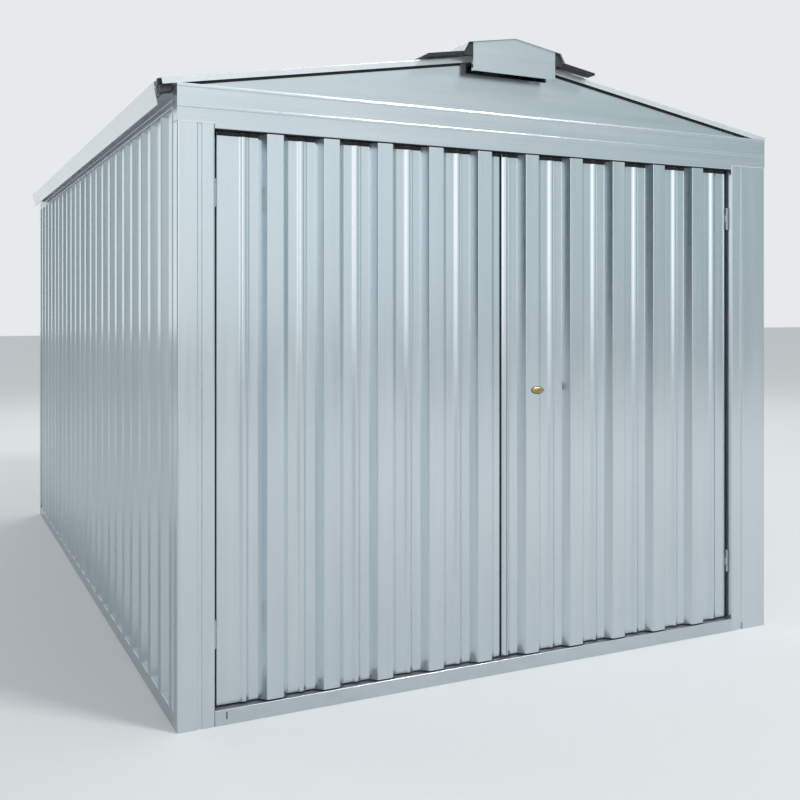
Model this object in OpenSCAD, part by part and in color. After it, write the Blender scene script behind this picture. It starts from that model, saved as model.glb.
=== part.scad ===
// Sheet-steel garage: ribbed galvanised walls and roof on folded rails, a low gable with a
// raised ridge vent, and a pair of ribbed doors hung on butt hinges in the front wall.
// X runs along the front, the doors face -Y, Z is up. The origin is on the ground at the
// middle of the plan. Millimetres.

/* [Building] */
// Width over the side walls
body_w = 2560; // [2300:10:3200]
// Length over the front and back walls
body_l = 4800; // [3600:10:6000]
// Height of the door head, the underside of the front header
door_head_z = 2065; // [1900:5:2300]
// Height from the door head to the top of a side wall's sheets
wall_above_head = 72; // [60:1:110]
// Pitch of the roof in degrees
roof_pitch = 10; // [7:1:16]

/* [Ribbed sheet] */
// Distance from one rib to the next
rib_pitch = 205; // [180:1:240]
// Width of a rib's flat crest
rib_flat = 58; // [40:1:70]
// Run of a rib's sloping side
rib_run = 24; // [15:1:30]
// Depth of the wall and door ribs
rib_depth = 34; // [20:1:40]
// Depth of the roof ribs
roof_rib_depth = 20; // [14:1:34]
// Height of the small stiffening rib between two ribs
bead_h = 8; // [4:1:12]
// Half of that small rib's width
bead_half = 16; // [10:1:20]
// Thickness of the ribbed and flat sheets
sheet_t = 2; // [1:0.5:3]

/* [Frame] */
// Thickness of the folded rails and posts
rail_t = 3; // [2:0.5:4]
// Height of the base rails
base_h = 54; // [40:1:80]
// Depth of the base rails, headers and post flanges
frame_d = 64; // [50:1:90]
// Width of the left front post's face
post_left_w = 125; // [110:1:180]
// Width of the right front post's face
post_right_w = 190; // [110:1:220]
// Width of the back posts' faces
post_back_w = 125; // [110:1:220]
// Distance from the door side of a post to the groove in its face
groove_in = 42; // [30:1:80]
// Width of that groove
groove_w = 17; // [10:1:25]
// Depth of that groove
groove_d = 6; // [3:1:8]
// Height of the headers
header_h = 148; // [100:1:200]
// How far the front posts stand up into the header
post_lap = 16; // [0:1:30]

/* [Roof] */
// How far the roof sheets pass the outside of a side wall, along the slope
eave_out = 50; // [30:1:100]
// How far the roof edge stands back from the front and back walls
verge_back = 50; // [40:1:58]
// How far the eave trim hangs below the roof sheets
eave_drop = 59; // [40:1:75]
// Width of the trims' flanges on the roof
trim_flange = 44; // [30:1:60]
// Distance from the front wall to the near end of an eave trim
eave_trim_in = 130; // [100:5:200]
// Half the distance between the outer faces of the ridge rails
vent_half = 182; // [150:1:220]
// Width of a ridge rail
ridge_rail_w = 43; // [35:1:60]
// Height of a ridge rail
ridge_rail_h = 60; // [40:1:80]
// How far the roof sheets lie on a ridge rail
sheet_on_rail = 32; // [15:1:38]

/* [Ridge vent] */
// Half the width of the vent cover over its wings
wing_half = 371; // [330:1:420]
// Half the width of the cover's raised part at its foot
riser_foot_half = 225; // [215:1:260]
// How far each sloping riser leans in
riser_lean = 20; // [10:1:40]
// Height of a riser
riser_h = 37; // [25:1:60]
// Height of the wings above the roof ribs
wing_gap = 17; // [8:1:40]
// How far the cover passes the front and back walls
cover_out = 18; // [12:1:40]
// How far the end panels stand out from the front and back walls
vent_end_out = 10; // [4:1:12]
// Height of the bottom of the gable notch above the header
notch_above_header = 157; // [140:1:180]
// Number of brackets under the cover
bracket_count = 6; // [3:1:9]

/* [Doors] */
// Gap between a door and its post, where the hinges sit
hinge_gap = 12; // [11:0.5:20]
// Gap between the two doors
meeting_gap = 8; // [7:0.5:14]
// Distance from the left post to the middle of the gap between the doors
meeting_x = 1113; // [1000:1:1250]
// Gap between the doors and the header
head_gap = 5; // [5:0.5:12]
// Gap between the doors and the sill
sill_gap = 7; // [5:0.5:15]
// Distance from the left post to the crest of the left door's first rib
left_first_rib = 180; // [120:1:200]
// Distance from the middle of the doors to the crest of the right door's first rib
right_first_rib = 97; // [70:1:120]
// Number of ribs on each door
door_ribs = 5; // [3:1:6]
// Height of a door's cross rails
door_rail_h = 60; // [40:1:90]

/* [Hinges and lock] */
// Length of a hinge
hinge_h = 97; // [60:1:140]
// Height of the middle of the lower hinges
hinge_low_z = 312; // [200:1:500]
// Height of the middle of the upper hinges
hinge_high_z = 1846; // [1500:1:1900]
// Thickness of the hinge plates
hinge_t = 2; // [1.5:0.5:2.5]
// Radius of a hinge knuckle
knuckle_r = 5; // [4:0.25:5.5]
// Radius of a hinge pin
pin_r = 2.5; // [2:0.25:3]
// Running clearance round a hinge pin
pin_clear = 0.05; // [0.02:0.01:0.1]
// Gap between the knuckles of a hinge
knuckle_gap = 0.5; // [0.3:0.1:1]
// Height of the middle of the lock
lock_z = 1115; // [900:5:1300]
// Distance from the middle of its rib to the middle of the lock
lock_off = 22; // [0:1:28]
// Length of the lock plate
lock_len = 58; // [45:1:80]
// Height of the lock plate
lock_h = 31; // [25:1:40]
// Thickness of the lock plate
lock_t = 4; // [3:0.5:8]
// Radius of the lock cylinder
lock_core_r = 9; // [7:0.5:12]
// How far the lock cylinder stands out from its plate
lock_core_out = 5; // [3:0.5:10]

/* [Hidden] */
$fn = 48;
// How far a cut runs past the surface it opens
over = 1;
// Gap under a sheet that lies along a sloping flange
lay_gap = 0.2;
// Heights that the roof rests on
roof_above_header = 5;
gable_above_wall = 13;
wall_top_z = door_head_z + wall_above_head;
header_top_z = door_head_z + header_h;
roof_z = header_top_z + roof_above_header;
roof_slope = tan(roof_pitch);
half_w = body_w / 2;
// Plan places along the front, from the left corner
opening_x0 = post_left_w;
opening_x1 = body_w - post_right_w;
meet_x = opening_x0 + meeting_x;
leaf_left_x0 = opening_x0 + hinge_gap;
leaf_left_x1 = meet_x - meeting_gap / 2;
leaf_right_x0 = meet_x + meeting_gap / 2;
leaf_right_x1 = opening_x1 - hinge_gap;
leaf_z0 = base_h + sill_gap;
leaf_z1 = door_head_z - head_gap;
// Where a door's edge folds back, and the cross rails behind the sheet
door_set_in = 4;
leaf_back_y = frame_d - door_set_in;
door_rail_in = 12;
door_rail_zs = [leaf_z0 + door_rail_in, (leaf_z0 + leaf_z1 - door_rail_h) / 2,
    leaf_z1 - door_rail_in - door_rail_h];
// The hinge axis stands in the gap, just in front of the doors' recessed flats
hinge_axis_out = 8;
hinge_axis_y = rib_depth - hinge_axis_out;
hinge_axis_in = hinge_gap / 2;
hinge_zs = [hinge_low_z, hinge_high_z];
hinge_plate_clear = 2;
// Side walls: the first rib follows the post's flange
side_first_rib = frame_d + rib_run + rib_flat / 2;
side_ribs = floor((body_l - 2 * frame_d - rib_flat - 2 * rib_run) / rib_pitch) + 1;
side_laps = [round(side_ribs * 0.4), round(side_ribs * 0.74)];
// Back wall: an odd number of ribs about the middle
back_clear = body_w - 2 * post_back_w;
back_side_ribs = floor((back_clear / 2 - rib_flat / 2 - rib_run) / rib_pitch);
back_ribs = 2 * back_side_ribs + 1;
// The vent cover's outline, as half widths and heights
ridge_z = roof_z + half_w * roof_slope;
wing_tip_z = ridge_z - wing_half * roof_slope + roof_rib_depth / cos(roof_pitch) + wing_gap;
riser_foot_z = wing_tip_z + (wing_half - riser_foot_half) * roof_slope;
riser_top_half = riser_foot_half - riser_lean;
riser_top_z = riser_foot_z + riser_h;
cover_apex_z = riser_top_z + riser_top_half * roof_slope;
notch_z = header_top_z + notch_above_header;
bracket_w = 40;
bracket_in = 2;
bracket_leg_half = vent_half - ridge_rail_w + bracket_in + rail_t;
// The eave blocks and verge trims, from the roof's edge, the wall and the eave trim
eave_block_h = 24;
eave_block_in = 4;
eave_block_clear = 6;
verge_short = 12;
roof_len = (half_w - vent_half + sheet_on_rail) / cos(roof_pitch);
roof_y0 = verge_back + sheet_t;
roof_y1 = body_l - roof_y0;
roof_ribs = round((roof_y1 - roof_y0) / rib_pitch) + 1;
roof_rib_pitch = (roof_y1 - roof_y0) / (roof_ribs - 1);
roof_laps = [round(roof_ribs * 0.35), round(roof_ribs * 0.7)];

// ---- Folded strips ----

function unit(v) = v / norm(v);
function left_of(v) = [-v[1], v[0]];
// The normal of the stretch of a path that starts at point i
function stretch_normal(pts, i) = left_of(unit(pts[i + 1] - pts[i]));
// A path's point moved t to its left, mitred at the folds
function moved_point(pts, i, t) =
    let (last = len(pts) - 1,
        n0 = stretch_normal(pts, max(i - 1, 0)),
        n1 = stretch_normal(pts, min(i, last - 1)),
        m = unit(n0 + n1))
    pts[i] + m * t / (m * n1);
// The outline of a sheet t thick that lies to the left of a path
function strip(pts, t) =
    concat(pts, [for (i = [len(pts) - 1:-1:0]) moved_point(pts, i, t)]);

// A channel's path: web on the first axis, flanges d deep, h high
function channel(d, h) = [[d, 0], [0, 0], [0, h], [d, h]];

// ---- Ribbed sheet ----

// One rib's path about its middle at x: up the near slope, over the crest and down again
function rib_points(x, depth) = [
    [x - rib_flat / 2 - rib_run, depth], [x - rib_flat / 2, 0],
    [x + rib_flat / 2, 0], [x + rib_flat / 2 + rib_run, depth]];
// The small stiffening rib's path about its middle
function bead_points(x, depth) = [
    [x - bead_half, depth], [x - bead_half / 3, depth - bead_h],
    [x + bead_half / 3, depth - bead_h], [x + bead_half, depth]];
// A bead's points if the whole bead lies between two places
function bead_if_room(x, depth, a, b) =
    x - bead_half > a + sheet_t && x + bead_half < b - sheet_t ? bead_points(x, depth) : [];
// The ribs and beads of a sheet between two places, with a bead halfway between ribs
function ribs_path(a, b, first, count, pitch, depth) = [for (k = [-1:count - 1])
    each concat([for (p = k < 0 ? [] : rib_points(first + k * pitch, depth))
            if (p[0] > a + 0.01 && p[0] < b - 0.01) p],
        bead_if_room(first + (k + 0.5) * pitch, depth, a, b))];

// The outline of a ribbed sheet from a to b. Y is 0 on the crests and the sheet lies behind.
// on_crest says for each end whether it is cut along the middle of a crest
module ribbed(a, b, first, count, pitch, depth, on_crest) {
    path = concat([[a, on_crest[0] ? 0 : depth]], ribs_path(a, b, first, count, pitch, depth),
        [[b, on_crest[1] ? 0 : depth]]);
    polygon(strip(path, sheet_t));
}

// ---- Frames of reference ----

// Plan places are measured from the front left corner
module from_corner() { translate([-half_w, -body_l / 2, 0]) children(); }
module other_side() { mirror([1, 0, 0]) children(); }
module other_end() { mirror([0, 1, 0]) children(); }
// The left roof slope: X runs up the slope from the wall, Z stands off the sheets' underside
module on_slope() {
    from_corner() translate([0, 0, roof_z]) rotate([0, -roof_pitch, 0]) children();
}
// A profile drawn as distance in from the wall and height, run along the left wall
module along_wall(y0, y1) {
    from_corner() translate([0, y1, 0]) rotate([90, 0, 0]) linear_extrude(y1 - y0) children();
}
// A profile drawn as distance in from the wall and height, run along the front
module along_front(x0, x1) {
    from_corner() translate([x0, 0, 0]) rotate([90, 0, 90]) linear_extrude(x1 - x0) children();
}

// ---- Base, posts, headers and plates ----

module base_profile() { polygon(strip(channel(frame_d - rail_t, base_h), -rail_t)); }
module sill() { color("lightsteelblue") along_front(opening_x0, opening_x1) base_profile(); }
module back_base() {
    color("lightsteelblue") other_end() along_front(post_back_w, body_w - post_back_w) base_profile();
}
module side_base() { color("lightsteelblue") along_wall(frame_d, body_l - frame_d) base_profile(); }

// A post's plan from its inner return round the face, with its groove, to the side flange
function post_path(w) = let (g1 = w - groove_in, g0 = g1 - groove_w) [
    [w, leaf_back_y], [w, 0], [g1, 0], [g1 - groove_d / 2, groove_d],
    [g0 + groove_d / 2, groove_d], [g0, 0], [0, 0], [0, frame_d]];
module post(w, top) {
    color("gainsboro") from_corner() linear_extrude(top) polygon(strip(post_path(w), -rail_t));
}

// A header is a folded box, open at the back, let in over the posts that lap it
module header(left_w, right_w, lap) {
    color("lightsteelblue") from_corner() difference() {
        translate([0, 0, door_head_z]) cube([body_w, frame_d, header_h]);
        translate([rail_t, rail_t, door_head_z + lap + rail_t])
            cube([body_w - 2 * rail_t, frame_d, header_h - lap - 2 * rail_t]);
        translate([left_w + rail_t, rail_t, door_head_z + rail_t])
            cube([body_w - left_w - right_w - 2 * rail_t, frame_d, lap + rail_t]);
        for (x = [[-over, left_w], [body_w - right_w, body_w + over]])
            translate([x[0], -over, door_head_z - over])
                cube([x[1] - x[0], frame_d + 2 * over, lap + over]);
    }
}

// The plate's top flange lies under the roof sheets
module plate() {
    color("lightsteelblue") along_wall(frame_d + sheet_t, body_l - frame_d - sheet_t)
        polygon(strip([[frame_d, wall_top_z], [0, wall_top_z], [0, roof_z],
            [frame_d, roof_z + frame_d * roof_slope]], -rail_t));
}

// ---- Walls and gables ----

// A side wall's ribbed sheet from one lap to the next
module side_sheet(part) {
    edges = [frame_d, side_first_rib + side_laps[0] * rib_pitch,
        side_first_rib + side_laps[1] * rib_pitch, body_l - frame_d];
    color("silver") from_corner() translate([0, 0, base_h]) linear_extrude(wall_top_z - base_h)
        mirror([1, -1, 0]) ribbed(edges[part], edges[part + 1], side_first_rib, side_ribs,
            rib_pitch, rib_depth, [part > 0, part < 2]);
}

module back_sheet(part) {
    first = half_w - back_side_ribs * rib_pitch;
    lap_rib = round(back_ribs / 6);
    edges = [post_back_w, half_w - lap_rib * rib_pitch, half_w + lap_rib * rib_pitch,
        body_w - post_back_w];
    color("silver") other_end() from_corner() translate([0, 0, base_h])
        linear_extrude(door_head_z - base_h)
        ribbed(edges[part], edges[part + 1], first, back_ribs, rib_pitch, rib_depth,
            [part > 0, part < 2]);
}

// The gable stands behind the header. Its notch opens the roof space into the ridge vent
module gable() {
    low_z = wall_top_z + gable_above_wall;
    color("lightsteelblue") from_corner() translate([0, frame_d + sheet_t, 0]) rotate([90, 0, 0])
        linear_extrude(sheet_t) polygon([[0, low_z], [body_w, low_z], [body_w, roof_z],
            [half_w + vent_half, ridge_z - vent_half * roof_slope], [half_w + vent_half, notch_z],
            [half_w - vent_half, notch_z], [half_w - vent_half, ridge_z - vent_half * roof_slope],
            [0, roof_z]]);
}

// ---- Roof ----

module ridge_rail() {
    outer = half_w - vent_half;
    inner = outer + ridge_rail_w;
    low_z = ridge_z - vent_half * roof_slope - ridge_rail_h;
    color("lightsteelblue") along_wall(frame_d + sheet_t, body_l - frame_d - sheet_t)
        polygon(strip([[inner, low_z], [outer, low_z],
            [outer, roof_z + outer * roof_slope - lay_gap],
            [inner, roof_z + inner * roof_slope - lay_gap]], -rail_t));
}

// The roof sheets turn their ribs up: the profile is drawn along Y and run up the slope.
// They start and end on the middle of a crest, so the verge trims lie on it
module roof_sheet(part) {
    edges = [for (k = [0, roof_laps[0], roof_laps[1], roof_ribs - 1]) roof_y0 + k * roof_rib_pitch];
    color("silver") on_slope() translate([-eave_out, 0, roof_rib_depth + sheet_t])
        rotate([90, 0, 90]) mirror([0, 1, 0]) linear_extrude(roof_len + eave_out)
        ribbed(edges[part], edges[part + 1], roof_y0, roof_ribs, roof_rib_pitch, roof_rib_depth,
            [true, true]);
}

// A verge trim's face closes the sheets' ends and its flange lies on the first rib
module verge_trim() {
    top = roof_rib_depth + sheet_t;
    color("white") on_slope() translate([verge_short - eave_out, 0, 0]) rotate([90, 0, 90])
        linear_extrude(roof_len + eave_out - verge_short)
        polygon(strip([[verge_back + sheet_t, 0], [verge_back + sheet_t, top],
            [verge_back + trim_flange, top]], sheet_t));
}
module both_verges() { verge_trim(); other_side() verge_trim(); }

// The eave trim hangs square to the roof, off a flange that lies on the ribs
module eave_trim() {
    top = roof_rib_depth + sheet_t;
    color("gainsboro") on_slope() translate([0, body_l - eave_trim_in, 0]) rotate([90, 0, 0])
        linear_extrude(body_l - 2 * eave_trim_in)
        polygon(strip([[-eave_out, -eave_drop], [-eave_out, top],
            [-eave_out + trim_flange, top]], sheet_t));
}

// Blocks close the corners under the roof edge, between the verge and eave trims
module eave_block() {
    color("dimgray") on_slope() translate([eave_block_in - eave_out, frame_d, -eave_block_h])
        cube([eave_out - eave_block_in - eave_block_clear,
            eave_trim_in - frame_d - eave_block_clear, eave_block_h]);
}
module eave_block_pair() { eave_block(); other_side() eave_block(); }

// ---- Ridge vent ----

// The cover is made of four strips that meet at its folds: on each side a wing with its riser,
// and half of the top. The strip between two distances left of the ridge
module cover_strip(x0, x1) {
    path = [[-wing_half, wing_tip_z], [-riser_foot_half, riser_foot_z],
        [-riser_top_half, riser_top_z], [0, cover_apex_z], [riser_top_half, riser_top_z]];
    color("white") translate([0, body_l / 2 + cover_out, 0]) rotate([90, 0, 0])
        linear_extrude(body_l + 2 * cover_out) intersection() {
            polygon(strip(path, -sheet_t));
            translate([-x1, 0]) square([x1 - x0, cover_apex_z + over]);
        }
}
module wing() { cover_strip(riser_top_half, wing_half + over); }
module half_top() { cover_strip(0, riser_top_half); }

// The height at which a sheet under the cover's top stops, at a half width inside its risers
function under_cover(x) =
    cover_apex_z - x * roof_slope - sheet_t / cos(roof_pitch) - lay_gap;

module vent_end() {
    top_z = under_cover(vent_half);
    color("lightsteelblue") translate([0, -body_l / 2 - vent_end_out + sheet_t, 0])
        rotate([90, 0, 0]) linear_extrude(sheet_t)
        polygon([[-vent_half, notch_z], [vent_half, notch_z], [vent_half, top_z],
            [0, under_cover(0)], [-vent_half, top_z]]);
}

// Each bracket stands on both ridge rails and follows the cover's underside
module vent_bracket() {
    foot_z = ridge_z - (bracket_leg_half - rail_t) * roof_slope;
    rotate([90, 0, 0]) linear_extrude(bracket_w, center = true)
        polygon(strip([[-bracket_leg_half, foot_z], [-bracket_leg_half, under_cover(bracket_leg_half)],
            [0, under_cover(0)], [bracket_leg_half, under_cover(bracket_leg_half)],
            [bracket_leg_half, foot_z]], -rail_t));
}
module all_vent_brackets() {
    first_y = body_l / 2 - frame_d - bracket_w;
    color("gray") for (k = [0:bracket_count - 1])
        translate([0, -first_y + k * 2 * first_y / (bracket_count - 1), 0]) vent_bracket();
}

// ---- Doors ----

// A door's sheet with its two edges folded back
module door_sheet(x0, x1, first) {
    path = concat([[x0, leaf_back_y], [x0, rib_depth]],
        ribs_path(x0, x1, first, door_ribs, rib_pitch, rib_depth),
        [[x1, rib_depth], [x1, leaf_back_y]]);
    color("silver") from_corner() translate([0, 0, leaf_z0]) linear_extrude(leaf_z1 - leaf_z0)
        polygon(strip(path, sheet_t));
}
module left_leaf() {
    door_sheet(leaf_left_x0, leaf_left_x1, opening_x0 + left_first_rib + rib_flat / 2);
}
module right_leaf() {
    door_sheet(leaf_right_x0, leaf_right_x1, meet_x + right_first_rib + rib_flat / 2);
}

// Three cross rails stiffen a door behind its sheet
module cross_rails(x0, x1) {
    rail_y = rib_depth + sheet_t;
    color("gray") for (z = door_rail_zs)
        from_corner() translate([x0 + sheet_t, rail_y, z]) rotate([90, 0, 90])
            linear_extrude(x1 - x0 - 2 * sheet_t)
            polygon(strip(channel(leaf_back_y - rail_y, door_rail_h), -sheet_t));
}

// ---- Hinges and lock ----

// A hinge is drawn for the left door about its axis. A plate runs back from plate_x, and
// between the two heights it reaches in to its knuckle
module hinge_plate(plate_x, z0, z1) {
    plate_d = leaf_back_y - hinge_axis_y;
    clear_d = knuckle_r + hinge_plate_clear;
    translate([plate_x, clear_d, -hinge_h / 2]) cube([hinge_t, plate_d - clear_d, hinge_h]);
    translate([plate_x, 0, z0]) cube([hinge_t, plate_d, z1 - z0]);
    translate([0, 0, z0]) cylinder(r = knuckle_r, h = z1 - z0);
}
// The post side has the two outer knuckles and carries the pin
module hinge_on_post() {
    hinge_plate(-hinge_axis_in, -hinge_h / 2, -hinge_h / 6);
    hinge_plate(-hinge_axis_in, hinge_h / 6, hinge_h / 2);
    cylinder(r = pin_r, h = hinge_h, center = true);
}
module hinge_on_door() {
    half = hinge_h / 6 - knuckle_gap;
    difference() {
        hinge_plate(hinge_axis_in - hinge_t, -half, half);
        cylinder(r = pin_r + pin_clear, h = hinge_h, center = true);
    }
}
module at_left_hinges() {
    color("darkgray") from_corner() for (z = hinge_zs)
        translate([opening_x0 + hinge_axis_in, hinge_axis_y, z]) children();
}
module at_right_hinges() {
    color("darkgray") from_corner() for (z = hinge_zs)
        translate([opening_x1 - hinge_axis_in, hinge_axis_y, z]) mirror([1, 0, 0]) children();
}

// A plate with round ends, held by the crest of the right door's first rib, and its cylinder
module lock() {
    x = meet_x + right_first_rib + rib_flat / 2 + lock_off;
    end = (lock_len - lock_h) / 2;
    color("goldenrod") from_corner() translate([x, 0, lock_z]) rotate([90, 0, 0]) {
        linear_extrude(lock_t) {
            square([2 * end, lock_h], center = true);
            for (s = [-1, 1]) translate([s * end, 0]) circle(d = lock_h);
        }
        cylinder(r = lock_core_r, h = lock_t + lock_core_out);
    }
}

sill();  // base_front
back_base();  // base_back
side_base();  // base_left
other_side() side_base();  // base_right
post(post_left_w, door_head_z + post_lap);  // post_front_left
other_side() post(post_right_w, door_head_z + post_lap);  // post_front_right
other_end() post(post_back_w, door_head_z);  // post_back_left
other_side() other_end() post(post_back_w, door_head_z);  // post_back_right
header(post_left_w, post_right_w, post_lap);  // header_front
other_end() header(post_back_w, post_back_w, 0);  // header_back
plate();  // plate_left
other_side() plate();  // plate_right
gable();  // gable_front
other_end() gable();  // gable_back
side_sheet(0);  // wall_left_front
side_sheet(1);  // wall_left_middle
side_sheet(2);  // wall_left_back
other_side() side_sheet(0);  // wall_right_front
other_side() side_sheet(1);  // wall_right_middle
other_side() side_sheet(2);  // wall_right_back
back_sheet(0);  // wall_back_left
back_sheet(1);  // wall_back_middle
back_sheet(2);  // wall_back_right
ridge_rail();  // ridge_rail_left
other_side() ridge_rail();  // ridge_rail_right
roof_sheet(0);  // roof_left_front
roof_sheet(1);  // roof_left_middle
roof_sheet(2);  // roof_left_back
other_side() roof_sheet(0);  // roof_right_front
other_side() roof_sheet(1);  // roof_right_middle
other_side() roof_sheet(2);  // roof_right_back
both_verges();  // verges_front
other_end() both_verges();  // verges_back
eave_trim();  // eave_left
other_side() eave_trim();  // eave_right
union() { eave_block_pair(); other_end() eave_block_pair(); }  // eave_blocks
wing();  // vent_wing_left
other_side() wing();  // vent_wing_right
half_top();  // vent_top_left
other_side() half_top();  // vent_top_right
vent_end();  // vent_end_front
other_end() vent_end();  // vent_end_back
all_vent_brackets();  // vent_brackets
at_left_hinges() hinge_on_post();  // hinges_frame_left
at_right_hinges() hinge_on_post();  // hinges_frame_right
left_leaf();  // door_left
cross_rails(leaf_left_x0, leaf_left_x1);  // door_left_rails
at_left_hinges() hinge_on_door();  // hinges_door_left
right_leaf();  // door_right
cross_rails(leaf_right_x0, leaf_right_x1);  // door_right_rails
at_right_hinges() hinge_on_door();  // hinges_door_right
lock();  // door_lock
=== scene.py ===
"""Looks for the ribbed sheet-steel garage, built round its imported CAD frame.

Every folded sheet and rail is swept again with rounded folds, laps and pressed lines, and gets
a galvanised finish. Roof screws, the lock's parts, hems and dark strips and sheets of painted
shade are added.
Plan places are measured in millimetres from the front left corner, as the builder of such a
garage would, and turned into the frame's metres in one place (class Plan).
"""

import enum
import logging
import math
from collections.abc import Callable, Sequence
from dataclasses import dataclass, field

import bpy
import numpy as np
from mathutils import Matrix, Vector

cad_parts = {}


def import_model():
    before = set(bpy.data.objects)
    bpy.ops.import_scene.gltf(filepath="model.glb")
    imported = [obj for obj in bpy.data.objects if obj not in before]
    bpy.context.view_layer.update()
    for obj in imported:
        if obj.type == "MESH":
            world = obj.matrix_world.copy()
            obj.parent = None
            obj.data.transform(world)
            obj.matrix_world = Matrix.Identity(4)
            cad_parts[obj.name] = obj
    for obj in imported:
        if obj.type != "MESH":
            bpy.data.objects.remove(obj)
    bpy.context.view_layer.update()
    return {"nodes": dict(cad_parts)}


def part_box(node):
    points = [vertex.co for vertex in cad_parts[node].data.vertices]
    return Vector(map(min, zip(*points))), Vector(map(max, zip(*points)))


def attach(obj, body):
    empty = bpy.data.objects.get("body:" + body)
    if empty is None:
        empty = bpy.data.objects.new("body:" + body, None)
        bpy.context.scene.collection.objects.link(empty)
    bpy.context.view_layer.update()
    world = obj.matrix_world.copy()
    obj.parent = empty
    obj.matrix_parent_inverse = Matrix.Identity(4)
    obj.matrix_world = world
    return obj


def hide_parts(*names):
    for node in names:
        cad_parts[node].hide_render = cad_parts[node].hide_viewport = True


log = logging.getLogger("garage")
MM = 0.001

OCTAVE_SHARE = 0.55  # how much each finer octave of a noise counts
TINY = 1e-12

Array = np.ndarray
Place = Callable[[Array, Array, Array], Array]
Tint = Sequence[float] | bpy.types.NodeSocket


# ---- Finishes ----


class Grain(enum.Enum):
    """The way in which a sheet was rolled, as noise scales along X, Y and Z."""

    UPRIGHT = (34.0, 34.0, 1.1)
    LENGTHWISE = (34.0, 1.1, 34.0)
    ACROSS = (1.1, 34.0, 34.0)


class Graph:
    """A material's or the world's node tree, with short ways to add and join nodes."""

    def __init__(self, name: str, world: bool = False) -> None:
        """Make the owner of the tree, with its shader and coordinates.

        Args:
            name: the owner's name.
            world: whether it is a world and not a material.
        """
        self.owner = (bpy.data.worlds if world else bpy.data.materials).new(name)
        self.owner.use_nodes = True
        self.tree = self.owner.node_tree
        self.shader = self.tree.nodes["Background" if world else "Principled BSDF"]
        self.coordinates = self.node("ShaderNodeTexCoord").outputs[
            "Generated" if world else "Object"]

    def node(self, kind: str, **settings: object) -> bpy.types.Node:
        """Add a node.

        Args:
            kind: the node's type name.
            settings: attributes, or input values where an input has that name.

        Returns:
            The node.
        """
        made = self.tree.nodes.new(kind)
        for key, value in settings.items():
            if hasattr(made, key):
                setattr(made, key, value)
            else:
                made.inputs[key.replace("_", " ")].default_value = value
        return made

    def link(self, source: bpy.types.NodeSocket, target: bpy.types.NodeSocket) -> None:
        """Join two sockets."""
        self.tree.links.new(source, target)

    def noise(self, scales: Sequence[float], scale: float,
              detail: float = 3.0) -> bpy.types.NodeSocket:
        """Add a noise on Object coordinates, stretched by a Mapping node.

        Args:
            scales: the stretch along each axis.
            scale: the noise's own scale.
            detail: its number of octaves.

        Returns:
            The noise's value socket.
        """
        stretch = self.node("ShaderNodeMapping")
        stretch.inputs["Scale"].default_value = tuple(scales)
        self.link(self.coordinates, stretch.inputs["Vector"])
        made = self.node("ShaderNodeTexNoise", Scale=scale, Detail=detail,
                         Roughness=OCTAVE_SHARE)
        self.link(stretch.outputs["Vector"], made.inputs["Vector"])
        return made.outputs["Fac"]

    def spangle(self, scale: float) -> bpy.types.NodeSocket:
        """Add the flat crystal pattern of hot-dip zinc, one grey for each cell.

        Args:
            scale: cells to a metre.

        Returns:
            The cells' colour socket.
        """
        cells = self.node("ShaderNodeTexVoronoi", Scale=scale)
        self.link(self.coordinates, cells.inputs["Vector"])
        return cells.outputs["Color"]

    def spread(self, value: bpy.types.NodeSocket, low: float, high: float,
               from_low: float = 0.3, from_high: float = 0.7) -> bpy.types.NodeSocket:
        """Map a value's range onto another.

        Args:
            value: the socket to map.
            low: the result at from_low.
            high: the result at from_high.
            from_low: the lowest input.
            from_high: the highest input.

        Returns:
            The mapped socket.
        """
        made = self.node("ShaderNodeMapRange")
        for key, number in zip(("From Min", "From Max", "To Min", "To Max"),
                               (from_low, from_high, low, high)):
            made.inputs[key].default_value = number
        self.link(value, made.inputs["Value"])
        return made.outputs["Result"]

    def maths(self, operation: str, a: bpy.types.NodeSocket | float,
              b: bpy.types.NodeSocket | float) -> bpy.types.NodeSocket:
        """Add a Math node on two sockets or numbers.

        Args:
            operation: the operation's name.
            a: the first value.
            b: the second value.

        Returns:
            The result's socket.
        """
        made = self.node("ShaderNodeMath", operation=operation)
        for value, socket in zip((a, b), made.inputs):
            if isinstance(value, (int, float)):
                socket.default_value = value
            else:
                self.link(value, socket)
        return made.outputs["Value"]

    def mixed(self, factor: bpy.types.NodeSocket, dark: Tint, pale: Tint) -> bpy.types.NodeSocket:
        """Mix two colours by a factor.

        Args:
            factor: 0 for dark, 1 for pale.
            dark: the first colour, or a socket that gives it.
            pale: the second colour, or a socket that gives it.

        Returns:
            The colour socket.
        """
        made = self.node("ShaderNodeMix", data_type="RGBA")
        self.link(factor, made.inputs["Factor"])
        first, second = (i for i in made.inputs if i.type == "RGBA")
        for tint, socket in ((dark, first), (pale, second)):
            if isinstance(tint, bpy.types.NodeSocket):
                self.link(tint, socket)
            else:
                socket.default_value = (*tint, 1.0)
        return next(o for o in made.outputs if o.type == "RGBA")

    def bump(self, heights: Sequence[tuple[bpy.types.NodeSocket, float, float]]) -> None:
        """Chain bumps into the shader's normal.

        Args:
            heights: for each bump its height socket, its strength and its depth in metres.
        """
        before = None
        for height, strength, depth in heights:
            made = self.node("ShaderNodeBump", Strength=strength, Distance=depth)
            self.link(height, made.inputs["Height"])
            if before is not None:
                self.link(before, made.inputs["Normal"])
            before = made.outputs["Normal"]
        self.link(before, self.shader.inputs["Normal"])


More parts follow.
